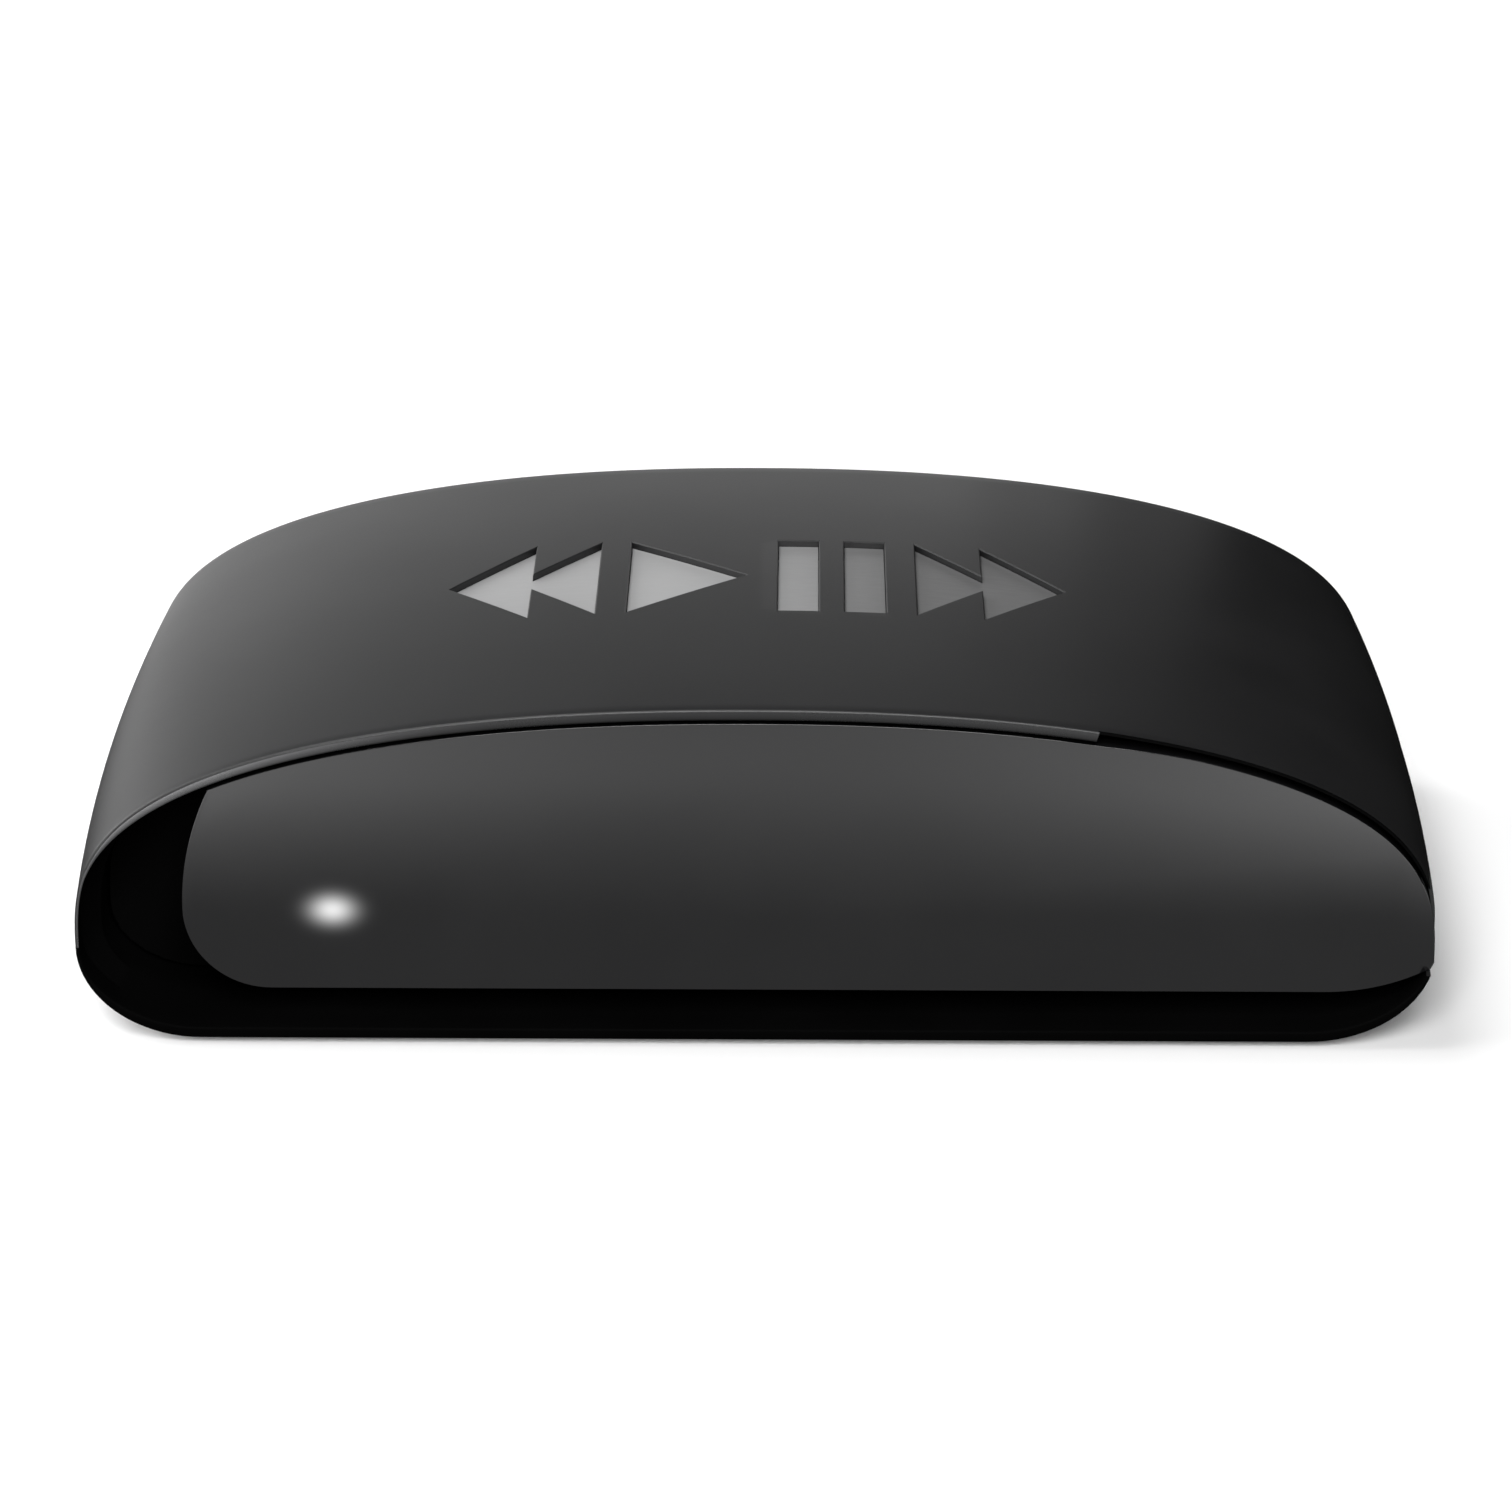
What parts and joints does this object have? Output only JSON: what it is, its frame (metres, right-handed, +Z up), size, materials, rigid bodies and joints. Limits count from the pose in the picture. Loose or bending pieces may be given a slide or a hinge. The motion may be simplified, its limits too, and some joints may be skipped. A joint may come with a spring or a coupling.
{
  "type": "streaming media player",
  "caption": "Palm-size streaming box: arched matte sleeve over a flat base, smoked front window with status light, HDMI and power sockets and a reset button at the rear.",
  "frame": {"origin": "bottom centre of the whole object's bounding box, on the plane that its four feet rest on", "axes": "+X across the front towards the right as seen from the front, +Y from the front window to the rear sockets, +Z up"},
  "size_m": [0.0734, 0.0384, 0.0194],
  "materials": {
    "sleeve": "fine matte texture",
    "window": "smoked, polished",
    "inlay": "satin silver-grey",
    "frame": "as moulded",
    "board": "solder mask",
    "chip": "moulded epoxy",
    "ferrite": "sintered ferrite",
    "steel": "tinned",
    "aluminium": "extruded",
    "gap_pad": "soft silicone",
    "contact_block": "moulded",
    "clear_plastic": "clear, polished ends",
    "led": "clear epoxy",
    "rubber": "matte",
    "label": "blank film",
    "button": "satin"
  },
  "bodies": {
    "housing": {"outer_sleeve": "sleeve", "emblem_inlay": "inlay", "front_window": "window", "window_carrier": "frame", "rear_cover": "frame", "inner_tray": "frame", "main_board": "board", "soc_package": "chip", "memory_chip": "chip", "flash_chip": "chip", "wireless_chip": "chip", "crystal": "steel", "power_inductor": "ferrite", "shield_frame": "steel", "shield_lid": "steel", "thermal_pad": "gap_pad", "heat_spreader": "aluminium", "antenna_left": "steel", "antenna_right": "steel", "status_led": "led", "light_pipe": "clear_plastic", "infrared_receiver": "chip", "hdmi_shell": "steel", "hdmi_tongue": "contact_block", "usb_shell": "steel", "usb_tongue": "contact_block", "switch_base": "chip", "rating_label": "label", "board_screw_1": "steel", "foot_1": "rubber", "board_screw_2": "steel", "foot_2": "rubber", "board_screw_3": "steel", "foot_3": "rubber", "board_screw_4": "steel", "foot_4": "rubber", "bulk_capacitor_1": "aluminium", "bulk_capacitor_2": "aluminium", "bulk_capacitor_3": "aluminium", "spreader_pin_1": "contact_block", "spreader_pin_2": "contact_block"},
    "button": {"reset_button": "button"},
    "plunger": {"switch_plunger": "button"}
  },
  "joints": [
    {"name": "reset_button_press", "type": "slide", "parent": "housing", "child": "button", "axis": [0, -1, 0], "range_m": [0, 0.0004], "stiffness_N_per_m": 2000},
    {"name": "switch_plunger_slide", "type": "slide", "parent": "housing", "child": "plunger", "axis": [0, -1, 0], "range_m": [0, 0.0004]}
  ],
  "couplings": [
    {"joint": "switch_plunger_slide", "follows": "reset_button_press", "ratio": 1}
  ]
}
